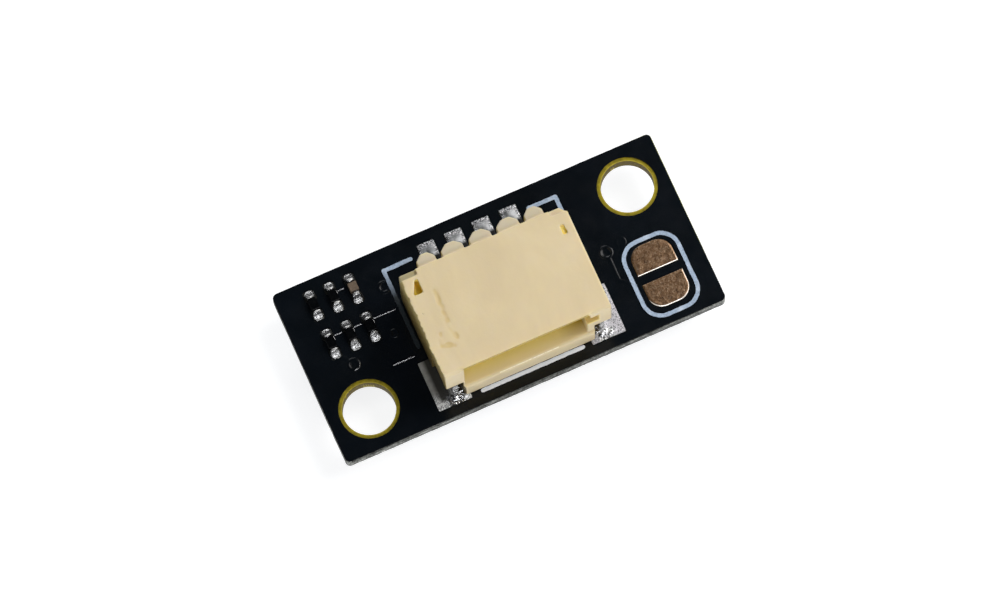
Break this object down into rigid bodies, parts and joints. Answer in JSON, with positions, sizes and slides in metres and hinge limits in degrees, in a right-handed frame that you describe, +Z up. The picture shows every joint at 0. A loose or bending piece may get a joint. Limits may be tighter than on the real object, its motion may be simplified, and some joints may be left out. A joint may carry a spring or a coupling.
{
  "type": "lidar ranging module",
  "caption": "Small black circuit board that measures distance with an optical ranging package underneath, with a side-entry cable header, chip parts and screw holes on top.",
  "frame": {"origin": "under the middle of the board, on the plane that the ranging package on the underside rests on", "axes": "+X along the board towards the solder jumper, +Y towards the header's soldered contacts (its mouth faces -Y), +Z up out of the board's top face"},
  "size_m": [0.0138, 0.0064, 0.0046],
  "materials": {
    "laminate": "matte, woven glass and epoxy",
    "solder_mask": "black, satin gloss",
    "housing_plastic": "ivory, satin",
    "tin_plate": "bright, slightly grainy",
    "solder": "satin, grainy",
    "jumper_finish": "satin, brownish, sparkling",
    "resistor_body": "black, satin",
    "capacitor_ceramic": "brown, satin",
    "white_print": "cool white, matte",
    "package_substrate": "matte",
    "package_cap": "black, matte",
    "filter_glass": "dark, polished",
    "silicon": "polished",
    "copper": "satin"
  },
  "bodies": {
    "root": {"board_laminate": "laminate", "solder_mask_top": "solder_mask", "solder_mask_bottom": "solder_mask", "via_barrel_1": "copper", "via_barrel_2": "copper", "via_barrel_3": "copper", "connector_housing": "housing_plastic", "contact_1": "tin_plate", "contact_2": "tin_plate", "contact_3": "tin_plate", "contact_4": "tin_plate", "solder_tab_left": "tin_plate", "solder_tab_right": "tin_plate", "signal_pad_1": "solder", "signal_pad_2": "solder", "signal_pad_3": "solder", "signal_pad_4": "solder", "mount_pad_left": "solder", "mount_pad_right": "solder", "jumper_pad_rear": "jumper_finish", "jumper_pad_front": "jumper_finish", "resistor_1_body": "resistor_body", "resistor_1_terminal_rear": "solder", "resistor_1_terminal_front": "solder", "resistor_2_body": "resistor_body", "resistor_2_terminal_rear": "solder", "resistor_2_terminal_front": "solder", "resistor_3_body": "resistor_body", "resistor_3_terminal_rear": "solder", "resistor_3_terminal_front": "solder", "resistor_4_body": "resistor_body", "resistor_4_terminal_rear": "solder", "resistor_4_terminal_front": "solder", "resistor_5_body": "resistor_body", "resistor_5_terminal_rear": "solder", "resistor_5_terminal_front": "solder", "capacitor_1_body": "capacitor_ceramic", "capacitor_1_terminal_rear": "solder", "capacitor_1_terminal_front": "solder", "capacitor_2_body": "capacitor_ceramic", "capacitor_2_terminal_rear": "solder", "capacitor_2_terminal_front": "solder", "capacitor_3_body": "capacitor_ceramic", "capacitor_3_terminal_rear": "solder", "capacitor_3_terminal_front": "solder", "print_corner_left": "white_print", "print_corner_right": "white_print", "print_front_line": "white_print", "print_jumper_outline": "white_print", "print_sensor_outline": "white_print", "sensor_substrate": "package_substrate", "sensor_cap": "package_cap", "emitter_window": "filter_glass", "receiver_window": "filter_glass", "laser_emitter_die": "silicon", "photon_detector_die": "silicon"}
  },
  "joints": []
}
